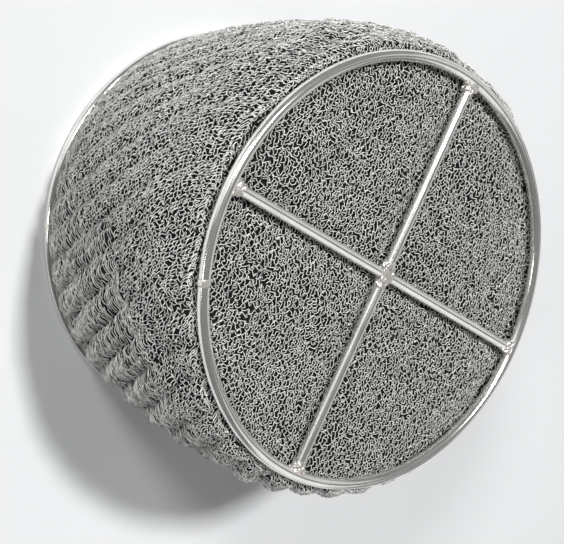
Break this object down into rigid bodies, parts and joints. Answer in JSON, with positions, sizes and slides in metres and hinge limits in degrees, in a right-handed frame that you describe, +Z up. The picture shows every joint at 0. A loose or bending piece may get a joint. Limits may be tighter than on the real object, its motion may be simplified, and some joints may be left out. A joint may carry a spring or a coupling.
{
  "type": "mesh demister pad",
  "caption": "Round mist eliminator pad: a thick roll of crimped knitted stainless wire held between two ring grids with welded cross rods.",
  "frame": {"origin": "on the pad's axis, in the plane that the lower grid stands on", "axes": "+Z up the pad's axis from the lower grid to the upper grid, +X along the through rod of both grids, +Y along the half rods"},
  "size_m": [0.3388, 0.3387, 0.216],
  "materials": {
    "stainless_rod": "satin drawn round bar, lengthwise grain",
    "weld_metal": "rippled weld bead, brushed clean, faint straw and pink heat tint",
    "knitted_wire": "fine bright drawn wire, knitted and crimped",
    "tie_wire_steel": "bright drawn wire"
  },
  "bodies": {
    "root": {"mesh_roll": "knitted_wire", "tie_wire": "tie_wire_steel", "lower_ring": "stainless_rod", "lower_ring_butt_weld": "weld_metal", "lower_through_rod": "stainless_rod", "lower_half_rod_north": "stainless_rod", "lower_half_rod_south": "stainless_rod", "lower_end_weld_east": "weld_metal", "lower_end_weld_north": "weld_metal", "lower_end_weld_west": "weld_metal", "lower_end_weld_south": "weld_metal", "lower_centre_weld": "weld_metal", "upper_ring": "stainless_rod", "upper_ring_butt_weld": "weld_metal", "upper_through_rod": "stainless_rod", "upper_half_rod_north": "stainless_rod", "upper_half_rod_south": "stainless_rod", "upper_end_weld_east": "weld_metal", "upper_end_weld_north": "weld_metal", "upper_end_weld_west": "weld_metal", "upper_end_weld_south": "weld_metal", "upper_centre_weld": "weld_metal"}
  },
  "joints": []
}
